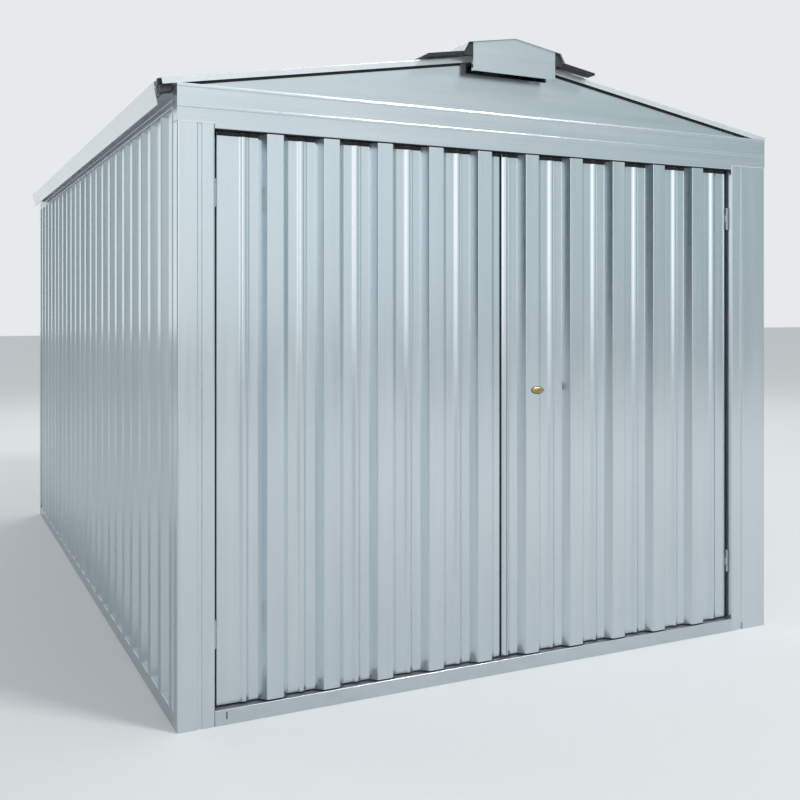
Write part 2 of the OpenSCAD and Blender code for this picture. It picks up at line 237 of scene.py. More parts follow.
@dataclass(frozen=True)
class Galvanised:
    """Zinc-dipped steel: pale cloudy grey, faint crystals, rolling streaks and a soft shine."""

    name: str
    pale: tuple[float, float, float] = (0.80, 0.86, 0.90)
    dark: tuple[float, float, float] = (0.69, 0.765, 0.81)
    grain: Grain = Grain.UPRIGHT
    metallic: float = 0.87
    roughness: tuple[float, float] = (0.16, 0.25)
    crystal_scale: float = 85.0
    crystal_share: float = 0.10
    crystal_shine: float = 0.15
    streak_share: float = 0.55
    cloud_stretch: tuple[float, float, float] = (1.0, 1.0, 0.45)
    cloud_scale: float = 1.7
    tone_range: tuple[float, float] = (0.15, 1.05)
    shine_range: tuple[float, float] = (0.35, 0.85)
    wave: tuple[float, float] = (0.5, 0.0025)
    scratch: tuple[float, float] = (0.06, 0.0004)

    def material(self) -> bpy.types.Material:
        """Build the node material.

        Returns:
            The material.
        """
        g = Graph(self.name)
        streaks = g.noise(self.grain.value, 1.0, 4.0)
        clouds = g.noise(self.cloud_stretch, self.cloud_scale)
        crystals = g.spread(g.spangle(self.crystal_scale), 0.0, 1.0, 0.0, 1.0)
        tone = g.maths("ADD", g.spread(streaks, 0.0, self.streak_share),
                       g.spread(clouds, 0.0, 1.0 - self.streak_share))
        tone = g.maths("ADD", tone, g.maths("MULTIPLY", crystals, self.crystal_share))
        g.link(g.mixed(g.spread(tone, 0.0, 1.0, *self.tone_range), self.dark, self.pale),
               g.shader.inputs["Base Color"])
        shine = g.maths("ADD", g.maths("MULTIPLY", crystals, self.crystal_shine), streaks)
        g.link(g.spread(shine, *self.roughness, *self.shine_range),
               g.shader.inputs["Roughness"])
        g.shader.inputs["Metallic"].default_value = self.metallic
        g.bump([(clouds, *self.wave), (streaks, *self.scratch)])
        return g.owner


@dataclass(frozen=True)
class Fitting:
    """Moulded plastic, rubber, brass or plated steel, and dark painted shade: one worn tone with a
    fine texture.
    """

    name: str
    pale: tuple[float, float, float]
    dark: tuple[float, float, float]
    metallic: float = 0.9
    roughness: tuple[float, float] = (0.26, 0.42)
    wear_scale: float = 160.0
    texture: tuple[float, float, float] = (40.0, 900.0, 900.0)
    depth: tuple[float, float] = (0.08, 0.0002)

    def material(self) -> bpy.types.Material:
        """Build the node material.

        Returns:
            The material.
        """
        g = Graph(self.name)
        wear = g.noise((1.0, 1.0, 1.0), self.wear_scale, 4.0)
        g.link(g.mixed(g.spread(wear, 0.0, 1.0), self.dark, self.pale),
               g.shader.inputs["Base Color"])
        g.link(g.spread(wear, *self.roughness), g.shader.inputs["Roughness"])
        g.shader.inputs["Metallic"].default_value = self.metallic
        g.bump([(g.noise(self.texture, 1.0, 2.0), *self.depth)])
        return g.owner


def galvanised(name: str, **settings: object) -> bpy.types.Material:
    """A dataclass field that makes a galvanised finish."""
    return field(default_factory=lambda: Galvanised(name, **settings).material())


def fitting(name: str, pale: Sequence[float], dark: Sequence[float],
            **settings: object) -> bpy.types.Material:
    """A dataclass field that makes a small part's finish."""
    return field(default_factory=lambda: Fitting(name, pale, dark, **settings).material())


MOULDED = {"metallic": 0.0, "roughness": (0.5, 0.66), "wear_scale": 22.0,
           "texture": (900.0, 900.0, 900.0), "depth": (0.25, 0.0003)}


@dataclass
class Finishes:
    """Every finish on the garage, each made once."""

    wall: bpy.types.Material = galvanised("zinc_wall")
    door: bpy.types.Material = galvanised(
        "zinc_door", pale=(0.825, 0.885, 0.925), dark=(0.745, 0.81, 0.855), metallic=0.94)
    roof: bpy.types.Material = galvanised(
        "zinc_roof", pale=(0.84, 0.87, 0.89), dark=(0.74, 0.78, 0.81), grain=Grain.ACROSS,
        roughness=(0.30, 0.40))
    post: bpy.types.Material = galvanised(
        "zinc_post", pale=(0.82, 0.875, 0.91), dark=(0.74, 0.80, 0.84))
    header: bpy.types.Material = galvanised(
        "zinc_header", pale=(0.80, 0.855, 0.885), dark=(0.72, 0.78, 0.82), grain=Grain.ACROSS)
    rail: bpy.types.Material = galvanised(
        "zinc_rail", pale=(0.75, 0.80, 0.83), dark=(0.66, 0.71, 0.75), grain=Grain.LENGTHWISE)
    gable: bpy.types.Material = galvanised(
        "zinc_gable", pale=(0.74, 0.80, 0.82), dark=(0.70, 0.76, 0.785), grain=Grain.ACROSS)
    trim: bpy.types.Material = galvanised(
        "zinc_trim", pale=(0.88, 0.90, 0.92), dark=(0.80, 0.83, 0.86), grain=Grain.LENGTHWISE,
        metallic=0.5)
    plastic: bpy.types.Material = fitting(
        "dark_plastic", (0.060, 0.064, 0.070), (0.036, 0.039, 0.044), **MOULDED)
    # Dark rubber for the washers and the lock's seat; the same black is painted shade on the dark
    # strips, sheets, slots and keyway.
    rubber_and_shade: bpy.types.Material = fitting(
        "dark_rubber", (0.03, 0.03, 0.032), (0.018, 0.018, 0.02), **MOULDED)
    plated: bpy.types.Material = fitting(
        "plated_zinc", (0.66, 0.68, 0.69), (0.45, 0.47, 0.49))
    # Painted shade: the dark strip on the sill before the doors, where the sill lies in shade.
    sill_shade: bpy.types.Material = fitting(
        "dull_bolt", (0.20, 0.22, 0.23), (0.12, 0.13, 0.14), metallic=0.7,
        roughness=(0.4, 0.55))
    brass: bpy.types.Material = fitting("brass", (0.62, 0.50, 0.24), (0.36, 0.28, 0.12))


# ---- Plan and placing ----


@dataclass(frozen=True)
class Plan:
    """The garage's main sizes in millimetres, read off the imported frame."""

    width: float
    length: float
    head_z: float
    header_top_z: float
    wall_top_z: float
    base_h: float
    frame_d: float
    post_left_w: float
    post_right_w: float
    post_back_w: float
    pitch: float = math.radians(10.0)
    roof_above_header: float = 5.0
    sheet_t: float = 2.0
    rail_t: float = 3.0
    vent_half: float = 182.0

    @classmethod
    def measured(cls) -> "Plan":
        """Read the plan off the CAD nodes' boxes.

        Returns:
            The plan.
        """
        def edge(node: str, end: int, axis: int) -> float:
            return round(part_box(node)[end][axis] / MM, 3)

        def span(node: str, axis: int) -> float:
            return round(edge(node, 1, axis) - edge(node, 0, axis), 3)

        return cls(
            width=span("header_front", 0), frame_d=span("header_front", 1),
            length=round(edge("header_back", 1, 1) - edge("header_front", 0, 1), 3),
            head_z=edge("header_front", 0, 2), header_top_z=edge("header_front", 1, 2),
            wall_top_z=edge("wall_left_front", 1, 2), base_h=edge("base_left", 1, 2),
            post_left_w=span("post_front_left", 0), post_right_w=span("post_front_right", 0),
            post_back_w=span("post_back_left", 0))

    @property
    def roof_z(self) -> float:
        """The height of the roof sheets' underside over a wall's face."""
        return self.header_top_z + self.roof_above_header

    @property
    def ridge_z(self) -> float:
        """The height at which the two roof slopes would meet."""
        return self.roof_z + self.width / 2 * math.tan(self.pitch)

    def points(self, x: Array, y: Array, z: Array) -> Array:
        """Corner-frame millimetres to the frame's metres."""
        return np.stack([x - self.width / 2, y - self.length / 2, z], axis=-1) * MM

    def left_wall(self, u: Array, v: Array, t: Array) -> Array:
        """u along the left wall, v in from its face, t up."""
        return self.points(v, u, t)

    def front(self, u: Array, v: Array, t: Array) -> Array:
        """u along the front, v in from its face, t up."""
        return self.points(u, v, t)

    def along_left(self, u: Array, v: Array, t: Array) -> Array:
        """u in from the left wall's face, v up, t along the wall."""
        return self.points(u, t, v)

    def along_front(self, u: Array, v: Array, t: Array) -> Array:
        """u in from the front, v up, t along the front."""
        return self.points(t, u, v)

    def up_slope(self, u: Array, v: Array, t: Array) -> Array:
        """u along the garage, v off the left roof slope, t up the slope from the wall's face."""
        c, s = math.cos(self.pitch), math.sin(self.pitch)
        return self.points(t * c - v * s, u, self.roof_z + t * s + v * c)

    def along_eave(self, u: Array, v: Array, t: Array) -> Array:
        """u up the left roof slope, v off it, t along the garage."""
        return self.up_slope(t, v, u)


def other_side(place: Place) -> Place:
    """The same place on the right-hand side."""
    return lambda u, v, t: place(u, v, t) * np.array([-1.0, 1.0, 1.0])


def other_end(place: Place) -> Place:
    """The same place at the back."""
    return lambda u, v, t: place(u, v, t) * np.array([1.0, -1.0, 1.0])


def at_side(place: Place, side: str) -> Place:
    """A place on the left-hand side, or its mirror on the right."""
    return place if side == "left" else other_side(place)


def at_end(place: Place, end: str) -> Place:
    """A place at the front, or its mirror at the back."""
    return place if end == "front" else other_end(place)


# ---- Folded strips ----

MOST_CUT = 0.42  # the most of a stretch that a fold's arc may take
HOLD_SHARE, MOST_HOLD = 0.15, 0.3  # how far past an arc the point that holds the flat lies
SHORTEST = 1e-4
DISC_SHAPE_FOOT, DISC_RIM, DISC_CROWN, DISC_EYE = 0.7, 0.94, 0.5, 0.02
LAP_LIFT = 0.05  # keeps a lap off the crest below it
SKIM = 0.05  # keeps a closing strip off the rail that it lies on
MARGIN = 1.0  # keeps a lap, hem, lip or strip inside the edges of what it lies on


def unit(v: Array) -> Array:
    """Vectors divided by their lengths."""
    return v / np.maximum(np.linalg.norm(v, axis=-1, keepdims=True), TINY)


def rounded(corners: Array, radii: Array, steps: int = 3) -> Array:
    """Round a path's folds with arcs.

    At a fold that turns by a, an arc of radius r leaves the path r * tan(a / 2) before the
    corner. The arc's points are the corner's two tangent points and the corner itself blended
    as a quadratic curve, (1-q)^2 A + 2q(1-q) C + q^2 B, which follows a shallow arc closely.
    A point just outside each end of the arc keeps the flats beside it shaded flat.

    Args:
        corners: the path's corners, N by 2.
        radii: the radius wanted at each corner.
        steps: pieces to each arc.

    Returns:
        The rounded path.
    """
    before, here, after = corners[:-2], corners[1:-1], corners[2:]
    run_in, run_out = here - before, after - here
    len_in, len_out = np.linalg.norm(run_in, axis=1), np.linalg.norm(run_out, axis=1)
    cosine = np.clip(np.sum(run_in * run_out, axis=1) / (len_in * len_out), -1, 1)
    cut = radii[1:-1] * np.tan(np.arccos(cosine) / 2)
    cut = np.minimum(cut, MOST_CUT * np.minimum(len_in, len_out))[:, None]
    hold = np.minimum(cut * HOLD_SHARE, MOST_HOLD)
    start, end = here - unit(run_in) * cut, here + unit(run_out) * cut
    q = np.linspace(0, 1, steps + 1)[None, :, None]
    arcs = (1 - q) ** 2 * start[:, None] + 2 * q * (1 - q) * here[:, None] + q**2 * end[:, None]
    arcs = np.concatenate([(start - unit(run_in) * hold)[:, None], arcs,
                           (end + unit(run_out) * hold)[:, None]], axis=1)
    path = np.concatenate([corners[:1], arcs.reshape(-1, 2), corners[-1:]])
    keep = np.concatenate([[True], np.linalg.norm(np.diff(path, axis=0), axis=1) > SHORTEST])
    return path[keep]


def offset(path: Array, thickness: float) -> Array:
    """Move a path sideways, mitred at its folds.

    Each point moves by thickness along the bisector m of its two stretches' left normals,
    divided by the cosine between m and a normal. A negative thickness moves it to the right.

    Args:
        path: the path, N by 2.
        thickness: how far to its left.

    Returns:
        The moved path.
    """
    run = unit(np.diff(path, axis=0))
    normal = np.stack([-run[:, 1], run[:, 0]], axis=1)
    first, last = np.vstack([normal[:1], normal]), np.vstack([normal, normal[-1:]])
    bisector = unit(first + last)
    return path + bisector * (thickness / np.sum(bisector * last, axis=1))[:, None]


def closed_tube(rings: Array) -> tuple[Array, Array]:
    """Join rings of points into a closed skin, capped at both ends.

    Args:
        rings: stations by ring points by 3. Ring points i and -1-i face each other, so the
            caps are quads between the two halves of the first and last ring.

    Returns:
        The points and the quads.
    """
    stations, count = rings.shape[:2]
    index = np.arange(stations * count).reshape(stations, count)
    ahead = np.roll(index, -1, axis=1)
    skin = np.stack([index[:-1], ahead[:-1], ahead[1:], index[1:]], axis=-1).reshape(-1, 4)
    half = np.arange(count // 2 - 1)
    near = np.stack([half, count - 1 - half, count - 2 - half, half + 1], axis=1)
    far = near[:, ::-1] + (stations - 1) * count
    return rings.reshape(-1, 3), np.concatenate([skin, near, far])


def outward(points: Array, quads: Array) -> Array:
    """Turn a closed skin's faces outwards, by the sign of the volume it encloses."""
    a, b, c, d = (points[quads[:, i]] for i in range(4))
    volume = np.sum(np.cross(b - a, c - a) * a) + np.sum(np.cross(c - a, d - a) * a)
    return quads if volume > 0 else quads[:, ::-1]


def box_ring(u0: float, u1: float, v0: float, v1: float) -> Array:
    """The outline of a rectangle, as four points."""
    return np.array([[u0, v0], [u1, v0], [u1, v1], [u0, v1]])


def disc(radius: float, height: float, sides: int = 16, dome: float = 0.0) -> tuple[Array, Array]:
    """A low round button standing on the plane z = 0, with a domed rim.

    Rings of sides points lie at radius * s and height * h for a few pairs (s, h), from the
    foot over the rim to a small ring at the middle, which closes with its opposite points.

    Args:
        radius: the foot's radius.
        height: the height over the plane.
        sides: points to a ring.
        dome: how much of the height is domed.

    Returns:
        The points and the quads.
    """
    turn = np.arange(sides) * 2 * math.pi / sides
    shape = [(1.0, 0.0), (1.0, DISC_SHAPE_FOOT * (1 - dome)), (DISC_RIM, 1.0 - dome),
             (DISC_CROWN, 1.0 - dome / 4), (DISC_EYE, 1.0)]
    rings = np.array([[np.cos(turn) * radius * s, np.sin(turn) * radius * s,
                       np.full(sides, height * h)] for s, h in shape]).transpose(0, 2, 1)
    return closed_tube(rings)


def facing(points: Array, normal: Sequence[float]) -> Array:
    """Turn points drawn about +Z so that they stand off along a normal."""
    n = unit(np.array(normal, float))
    side = np.cross([0.0, 0.0, 1.0], n)
    side = unit(side) if np.linalg.norm(side) > TINY else np.array([1.0, 0.0, 0.0])
    return points @ np.stack([side, np.cross(n, side), n])


@dataclass
class Shell:
    """Closed skins gathered into one mesh."""

    points: list[Array] = field(default_factory=list)
    quads: list[Array] = field(default_factory=list)
    count: int = 0

    def add(self, points: Array, quads: Array) -> "Shell":
        """Add a closed skin, with its faces turned outwards.

        Args:
            points: the points in metres.
            quads: the faces.

        Returns:
            The shell itself.
        """
        self.quads.append(outward(points, quads) + self.count)
        self.points.append(points)
        self.count += len(points)
        return self

    def strip(self, path: Array, thickness: float, place: Place, t0: float, t1: float,
              stations: int = 2) -> "Shell":
        """Add a folded strip: a path given a thickness and carried from t0 to t1.

        Args:
            path: the path's points in the profile's plane.
            thickness: the sheet's thickness, to the path's left if positive.
            place: the function that puts profile and run into the frame.
            t0: the run's start.
            t1: the run's end.
            stations: places along the run.

        Returns:
            The shell itself.
        """
        ring = np.concatenate([path, offset(path, thickness)[::-1]])
        t = np.linspace(t0, t1, stations)[:, None] * np.ones(len(ring))
        u, v = (np.broadcast_to(ring[:, i], t.shape) for i in range(2))
        return self.add(*closed_tube(place(u, v, t)))

    def bar(self, ring: Array, place: Place, t0: float, t1: float) -> "Shell":
        """Add a solid bar: a closed outline of an even number of points carried from t0 to t1."""
        t = np.array([t0, t1])[:, None] * np.ones(len(ring))
        u, v = (np.broadcast_to(ring[:, i], t.shape) for i in range(2))
        return self.add(*closed_tube(place(u, v, t)))

    def copies(self, points: Array, quads: Array, centres: Array) -> "Shell":
        """Add a small closed skin at many places."""
        for centre in centres:
            self.add(points + centre, quads)
        return self

    def piece(self, name: str, material: bpy.types.Material, body: str, slot: str,
              nodes: Sequence[str] = (), smooth: float = 40.0) -> bpy.types.Object:
        """Make the Blender object, hang it on its body's empty and hide the CAD nodes it stands
        for.

        Args:
            name: the piece's name.
            material: its finish.
            body: the CAD body it rides on.
            slot: the record's material slot; not used.
            nodes: the CAD nodes it stands for.
            smooth: the angle under which folds are shaded smooth, in degrees.

        Returns:
            The object.
        """
        points, quads = np.concatenate(self.points), np.concatenate(self.quads)
        mesh = bpy.data.meshes.new(name)
        mesh.vertices.add(len(points))
        mesh.vertices.foreach_set("co", points.astype(np.float32).ravel())
        mesh.loops.add(quads.size)
        mesh.loops.foreach_set("vertex_index", quads.astype(np.int32).ravel())
        mesh.polygons.add(len(quads))
        mesh.polygons.foreach_set("loop_start", np.arange(len(quads), dtype=np.int32) * 4)
        mesh.update(calc_edges=True)
        mesh.validate()
        mesh.shade_smooth()
        mesh.set_sharp_from_angle(angle=math.radians(smooth))
        mesh.materials.append(material)
        made = bpy.data.objects.new(name, mesh)
        bpy.context.scene.collection.objects.link(made)
        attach(made, body)
        if nodes:
            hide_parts(*nodes)
        log.info("%s: %d faces, for %s", name, len(quads), ", ".join(nodes) or "detail")
        return made


# ---- Ribbed sheet ----


@dataclass(frozen=True)
class Ribbing:
    """A ribbed profile: flat crests with sloping sides, and a small bead between ribs."""

    pitch: float = 205.0
    flat: float = 58.0
    run: float = 24.0
    depth: float = 34.0
    bead_h: float = 8.0
    bead_half: float = 16.0
    fold_r: float = 3.0
    bead_r: float = 12.0
    thickness: float = 2.0
    slack: float = 0.01
    lap_proud: float = 0.9
    lap_short: float = 6.0

    def corners(self, a: float, b: float, first: float, count: int,
                crest_ends: tuple[bool, bool]) -> tuple[Array, Array]:
        """The profile's corners and fold radii between two places.

        Args:
            a: the near end.
            b: the far end.
            first: the middle of the first rib.
            count: the number of ribs on the whole wall.
            crest_ends: whether each end is cut along the middle of a crest.

        Returns:
            The corners, N by 2, and a radius for each.
        """
        k = np.arange(-1, count)[:, None]
        middle = first + k * self.pitch
        rib_u = middle + np.array([-1, -1, 1, 1]) * self.flat / 2 + np.array(
            [-1, 0, 0, 1]) * self.run
        rib_v = np.tile([self.depth, 0, 0, self.depth], (len(k), 1))
        rib_ok = (k >= 0) & (rib_u > a + self.slack) & (rib_u < b - self.slack)
        bead_mid = middle + self.pitch / 2
        bead_u = bead_mid + np.array([-1, -1 / 3, 1 / 3, 1]) * self.bead_half
        bead_v = np.tile(self.depth - self.bead_h * np.array([0, 1, 1, 0]), (len(k), 1))
        room = (bead_mid - self.bead_half > a + self.thickness) & (
            bead_mid + self.bead_half < b - self.thickness)
        u = np.hstack([rib_u, bead_u])
        v = np.hstack([rib_v, bead_v])
        ok = np.hstack([rib_ok, np.tile(room, (1, 4))])
        radius = np.tile([self.fold_r] * 4 + [self.bead_r] * 4, (len(k), 1))
        ends = [0.0 if crest else self.depth for crest in crest_ends]
        path = np.vstack([[a, ends[0]], np.stack([u[ok], v[ok]], axis=1), [b, ends[1]]])
        return path, np.concatenate([[0.0], radius[ok], [0.0]])

    def lap(self, place_u: float) -> Array:
        """The narrow edge of an overlapping sheet on a crest, proud of the sheet below."""
        reach = self.flat / 2 - self.lap_short
        return np.array([[place_u - reach, -LAP_LIFT], [place_u + reach, -LAP_LIFT],
                         [place_u + reach, -self.lap_proud],
                         [place_u - reach, -self.lap_proud]])


@dataclass
class SheetWalls:
    """The side and back walls of ribbed sheet."""

    plan: Plan
    finishes: Finishes
    ribs: Ribbing = Ribbing()

    def side(self, side: str) -> None:
        """Build one side wall's three sheets with their laps.

        Args:
            side: left or right.
        """
        place = at_side(self.plan.left_wall, side)
        first = self.plan.frame_d + self.ribs.run + self.ribs.flat / 2
        names = [f"wall_{side}_{part}" for part in ("front", "middle", "back")]
        ends = [(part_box(n)[0][1] / MM + self.plan.length / 2,
                 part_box(n)[1][1] / MM + self.plan.length / 2) for n in names]
        count = 1 + round((self.plan.length - 2 * first) // self.ribs.pitch)
        for i, (name, (a, b)) in enumerate(zip(names, ends)):
            corners, radii = self.ribs.corners(a, b, first, count, (i > 0, i < 2))
            shell = Shell().strip(rounded(corners, radii), self.ribs.thickness, place,
                                  self.plan.base_h, self.plan.wall_top_z)
            if i < 2:
                self.add_lap(shell, place, b, self.plan.wall_top_z)
            shell.piece(f"sheet_{name}", self.finishes.wall, "building", "wall_sheet", [name])

    def back(self) -> None:
        """Build the back wall's three sheets with their laps."""
        place = other_end(self.plan.front)
        names = [f"wall_back_{part}" for part in ("left", "middle", "right")]
        half = self.plan.width / 2
        spans = [(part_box(n)[0][0] / MM + half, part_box(n)[1][0] / MM + half) for n in names]
        side_ribs = int((half - self.plan.post_back_w - self.ribs.flat / 2 - self.ribs.run)
                        // self.ribs.pitch)
        first = half - side_ribs * self.ribs.pitch
        for i, (name, (a, b)) in enumerate(zip(names, spans)):
            corners, radii = self.ribs.corners(a, b, first, 2 * side_ribs + 1, (i > 0, i < 2))
            shell = Shell().strip(rounded(corners, radii), self.ribs.thickness, place,
                                  self.plan.base_h, self.plan.head_z)
            if i < 2:
                self.add_lap(shell, place, b, self.plan.head_z)
            shell.piece(f"sheet_{name}", self.finishes.wall, "building", "wall_sheet", [name])

    def add_lap(self, shell: Shell, place: Place, at: float, top: float) -> None:
        """Add the overlapping edge of a sheet where it meets the next one on a crest."""
        shell.bar(self.ribs.lap(at), place, self.plan.base_h + MARGIN, top - MARGIN)

    def build(self) -> None:
        """Build every wall."""
        self.side("left")
        self.side("right")
        self.back()


@dataclass
class SheetRoof:
    """The six roof sheets and their verge and eave trims."""

    plan: Plan
    finishes: Finishes
    ribs: Ribbing = Ribbing(depth=20.0)
    eave_out: float = 50.0
    verge_back: float = 50.0
    eave_drop: float = 59.0
    flange: float = 44.0
    trim_in: float = 130.0
    verge_r: float = 2.5
    eave_r: float = 5.0
    eave_steps: int = 6
    hem_out: tuple[float, float] = (1.95, 2.6)
    hem_z: tuple[float, float, float, float] = (6.0, 1.0, 12.0, 14.0)
    sheet_on_rail: float = 32.0
    verge_short: float = 12.0

    @property
    def slope_len(self) -> float:
        """The slope's length from the wall's face to the sheets' upper edge."""
        return (self.plan.width / 2 - self.plan.vent_half + self.sheet_on_rail) / math.cos(
            self.plan.pitch)

    @property
    def rib_line(self) -> tuple[float, float, int]:
        """The middles of the first and the last rib along the garage, and how many there are."""
        y0 = self.verge_back + self.ribs.thickness
        y1 = self.plan.length - y0
        return y0, y1, round((y1 - y0) / self.ribs.pitch) + 1

    @property
    def top(self) -> float:
        """The height of the ribs' crests off the slope."""
        return self.ribs.depth + self.ribs.thickness

    def sheets(self, side: str) -> None:
        """Build one slope's three sheets, their ribs turned up.

        Args:
            side: left or right.
        """
        base = at_side(self.plan.up_slope, side)
        y0, y1, count = self.rib_line
        ribs = Ribbing(pitch=(y1 - y0) / (count - 1), depth=self.ribs.depth)
        names = [f"roof_{side}_{part}" for part in ("front", "middle", "back")]
        for i, name in enumerate(names):
            low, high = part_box(name)
            a, b = (edge[1] / MM + self.plan.length / 2 for edge in (low, high))
            corners, radii = ribs.corners(a, b, y0, count, (True, True))
            path = rounded(corners, radii) * [1, -1] + [0, self.top]
            shell = Shell().strip(path, -ribs.thickness, base, -self.eave_out, self.slope_len)
            if i < 2:
                lap = ribs.lap(b) * [1, -1] + [0, self.top]
                shell.bar(lap, base, MARGIN - self.eave_out, self.slope_len - MARGIN)
            shell.piece(f"sheet_{name}", self.finishes.roof, "building", "roof_sheet", [name])

    def verges(self, end: str) -> None:
        """Build the two verge trims of one end.

        Args:
            end: front or back.
        """
        t = self.ribs.thickness
        face = self.verge_back + t
        corners = np.array([[face, 0.0], [face, self.top],
                            [self.verge_back + self.flange, self.top]])
        path = rounded(corners, np.array([0, self.verge_r, 0]))
        shell = Shell()
        for side in ("left", "right"):
            place = at_end(at_side(self.plan.up_slope, side), end)
            shell.strip(path, t, place, self.verge_short - self.eave_out, self.slope_len)
        shell.piece(f"trim_verges_{end}", self.finishes.trim, "building", "trim",
                    [f"verges_{end}"])

    def eaves(self, side: str) -> None:
        """Build one eave trim: a flange on the ribs, a rounded shoulder and a hemmed drop.

        Args:
            side: left or right.
        """
        place = at_side(self.plan.along_eave, side)
        e = self.eave_out
        corners = np.array([[-e, -self.eave_drop], [-e, self.top], [self.flange - e, self.top]])
        path = rounded(corners, np.array([0, self.eave_r, 0]), self.eave_steps)
        (near, far), drop = self.hem_out, self.eave_drop
        hem = np.array([[-e - near, self.hem_z[0] - drop], [-e - far, self.hem_z[1] - drop],
                        [-e - far, self.hem_z[2] - drop], [-e - near, self.hem_z[3] - drop]])
        shell = Shell().strip(path, self.ribs.thickness, place, self.trim_in,
                              self.plan.length - self.trim_in)
        shell.bar(hem, place, self.trim_in + MARGIN, self.plan.length - self.trim_in - MARGIN)
        shell.piece(f"trim_eave_{side}", self.finishes.trim, "building", "trim",
                    [f"eave_{side}"])

    def build(self) -> None:
        """Build the whole roof."""
        for side in ("left", "right"):
            self.sheets(side)
            self.eaves(side)
        for end in ("front", "back"):
            self.verges(end)


@dataclass
class FrameRails:
    """Base rails, posts, headers, plates and ridge rails of folded steel."""

    plan: Plan
    finishes: Finishes
    groove_in: float = 42.0
    groove_w: float = 17.0
    groove_d: float = 6.0
    set_in: float = 4.0
    groove_r: float = 1.5
    corner_r: float = 7.0
    fold_r: float = 5.0
    base_r: float = 2.0
    rail_w: float = 43.0
    rail_h: float = 60.0
    ridge_out: float = 1.3
    low_ridge: float = 65.0
    high_ridge: float = 13.0
    low_heights: tuple[float, float, float] = (3.0, 10.0, 11.6)
    high_heights: tuple[float, float, float] = (2.5, 8.0, 9.4)
    top_turn: tuple[float, float] = (0.6, 0.8)
    lip: tuple[float, float, float] = (1.6, 4.0, 0.5)
    plate_groove: tuple[float, float, float, float] = (14.0, 17.0, 25.0, 28.0)
    plate_groove_d: float = 2.5
    slot_half: float = 2.0
    slot_proud: float = 0.15
    slot_deep: float = 0.5
    header_r: tuple[float, float] = (3.0, 1.0)
    plate_r: float = 3.0
    foot_slots: tuple[tuple[float, float, float], ...] = ((165.0, 20.0, 45.0),
                                                          (2430.0, 2.0, 30.0))

    def bases(self) -> None:
        """Build the base rails: channels that lie open side in."""
        p = self.plan
        d = p.frame_d - p.rail_t
        path = rounded(np.array([[d, 0], [0, 0], [0, p.base_h], [d, p.base_h]], float),
                       np.array([0, self.base_r, self.base_r, 0.0]))
        front, side = p.along_front, p.along_left
        runs = {
            "base_front": (front, p.post_left_w, p.width - p.post_right_w),
            "base_back": (other_end(front), p.post_back_w, p.width - p.post_back_w),
            "base_left": (side, p.frame_d, p.length - p.frame_d),
            "base_right": (other_side(side), p.frame_d, p.length - p.frame_d),
        }
        for name, (place, t0, t1) in runs.items():
            Shell().strip(path, -p.rail_t, place, t0, t1).piece(
                f"rail_{name}", self.finishes.rail, "building", "frame_rail", [name])

    def post(self, name: str, width: float, place: Place) -> None:
        """Build a post: inner return, grooved face and side flange.

        Args:
            name: the CAD node.
            width: the width of its face.
            place: the function that puts its plan into the frame.
        """
        p = self.plan
        g1, h = width - self.groove_in, self.groove_d / 2
        g0 = g1 - self.groove_w
        corners = np.array([[width, p.frame_d - self.set_in], [width, 0], [g1, 0],
                            [g1 - h, 2 * h], [g0 + h, 2 * h], [g0, 0], [0, 0], [0, p.frame_d]])
        radii = np.array([0, self.fold_r, *[self.groove_r] * 4, self.corner_r, 0.0])
        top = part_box(name)[1][2] / MM
        Shell().strip(rounded(corners, radii), -p.rail_t, place, 0, top).piece(
            name.replace("post", "folded_post"), self.finishes.post, "building", "frame_rail",
            [name])

    def header(self, end: str) -> None:
        """Build a header: two pressed ridges along its top, a crease and a turned lower lip.

        Args:
            end: front or back.
        """
        p = self.plan
        node = f"header_{end}"
        place = at_end(p.along_front, end)
        left, right = ((p.post_left_w, p.post_right_w) if end == "front"
                       else (p.post_back_w, p.post_back_w))
        lap = round(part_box("post_front_left")[1][2] / MM - p.head_z) if end == "front" else 0
        shell = Shell()
        runs = [(0.0, left, lap), (left, p.width - right, 0), (p.width - right, p.width, lap)]
        for t0, t1, up in runs:
            shell.strip(self.header_path(p.head_z + up), -p.rail_t, place, t0, t1)
        for t0 in (0.0, p.width - p.rail_t):
            low, high = p.head_z + lap + MARGIN, p.header_top_z - MARGIN
            shell.bar(box_ring(MARGIN, p.frame_d, low, high), place, t0, t0 + p.rail_t)
        shell.piece(f"folded_{node}", self.finishes.header, "building", "frame_rail", [node])
        lip = Shell()
        out, tall, short = self.lip
        for t0, t1, up in (runs[0], runs[2]):
            z = p.head_z + up
            lip.bar(box_ring(-out, MARGIN, z, z + tall), place, t0 + short, t1 - short)
        lip.piece(f"lip_{node}", self.finishes.trim, "building", "frame_rail")

    def header_path(self, low: float) -> Array:
        """A header's profile: lower flange, face with its two ridges, and upper flange.

        Args:
            low: the height of its lower flange.

        Returns:
            The rounded profile, as distance in from the front and height.
        """
        p = self.plan
        a, b = p.head_z + self.low_ridge, p.header_top_z - self.high_ridge
        (a1, a2, a3), (b1, b2, b3), out = self.low_heights, self.high_heights, -self.ridge_out
        (turn_in, turn_r), (fold, crease) = self.top_turn, self.header_r
        corners = np.array([
            [p.frame_d, low], [0, low], [0, a], [out, a + a1], [out, a + a2], [0, a + a3],
            [0, b], [out, b + b1], [out, b + b2], [0, b + b3],
            [turn_in, p.header_top_z], [p.frame_d, p.header_top_z]])
        radii = np.array([0, fold, *[crease] * 7, turn_r, turn_r, 0.0])
        return rounded(corners, radii, 2)

